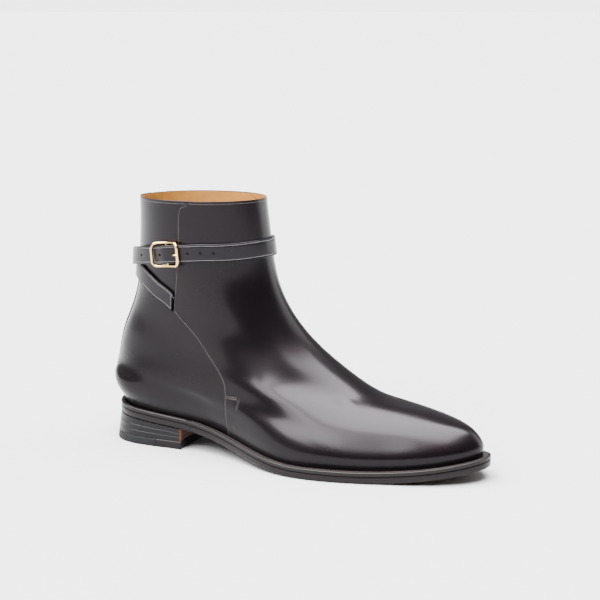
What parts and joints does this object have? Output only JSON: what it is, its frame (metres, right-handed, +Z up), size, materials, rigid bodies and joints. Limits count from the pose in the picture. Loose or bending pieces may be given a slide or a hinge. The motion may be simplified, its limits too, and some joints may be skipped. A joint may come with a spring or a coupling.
{
  "type": "jodhpur boot",
  "caption": "Ankle-high jodhpur boot for the right foot, black calf on a welted leather sole with a stacked heel, wrapped at the ankle by a strap with a brass buckle",
  "frame": {"origin": "on the floor, at the middle of the heel's contact face", "axes": "+X from the heel to the toe, +Y to the inner side of the right foot, +Z up"},
  "size_m": [0.3115, 0.1064, 0.1932],
  "materials": {
    "upper_calf": "polished black box calf, tan leather lining inside",
    "backstay_calf": "polished black box calf strip",
    "strap_calf": "black calf strap, stitched along both edges",
    "buckle_brass": "polished brass",
    "insole_leather": "tan leather sock",
    "sole_leather": "brown stained and waxed sole leather",
    "welt_leather": "black dressed welt, stitched",
    "heel_leather": "stacked leather lifts, black dressed edge",
    "heel_rubber": "black rubber quarter tip"
  },
  "bodies": {
    "root": {"upper": "upper_calf", "backstay": "backstay_calf", "strap": "strap_calf", "buckle_frame": "buckle_brass", "buckle_prong": "buckle_brass", "insole": "insole_leather", "outsole": "sole_leather", "welt": "welt_leather", "seat_rand": "welt_leather", "heel_stack": "heel_leather", "top_piece": "sole_leather", "heel_tip": "heel_rubber"}
  },
  "joints": []
}
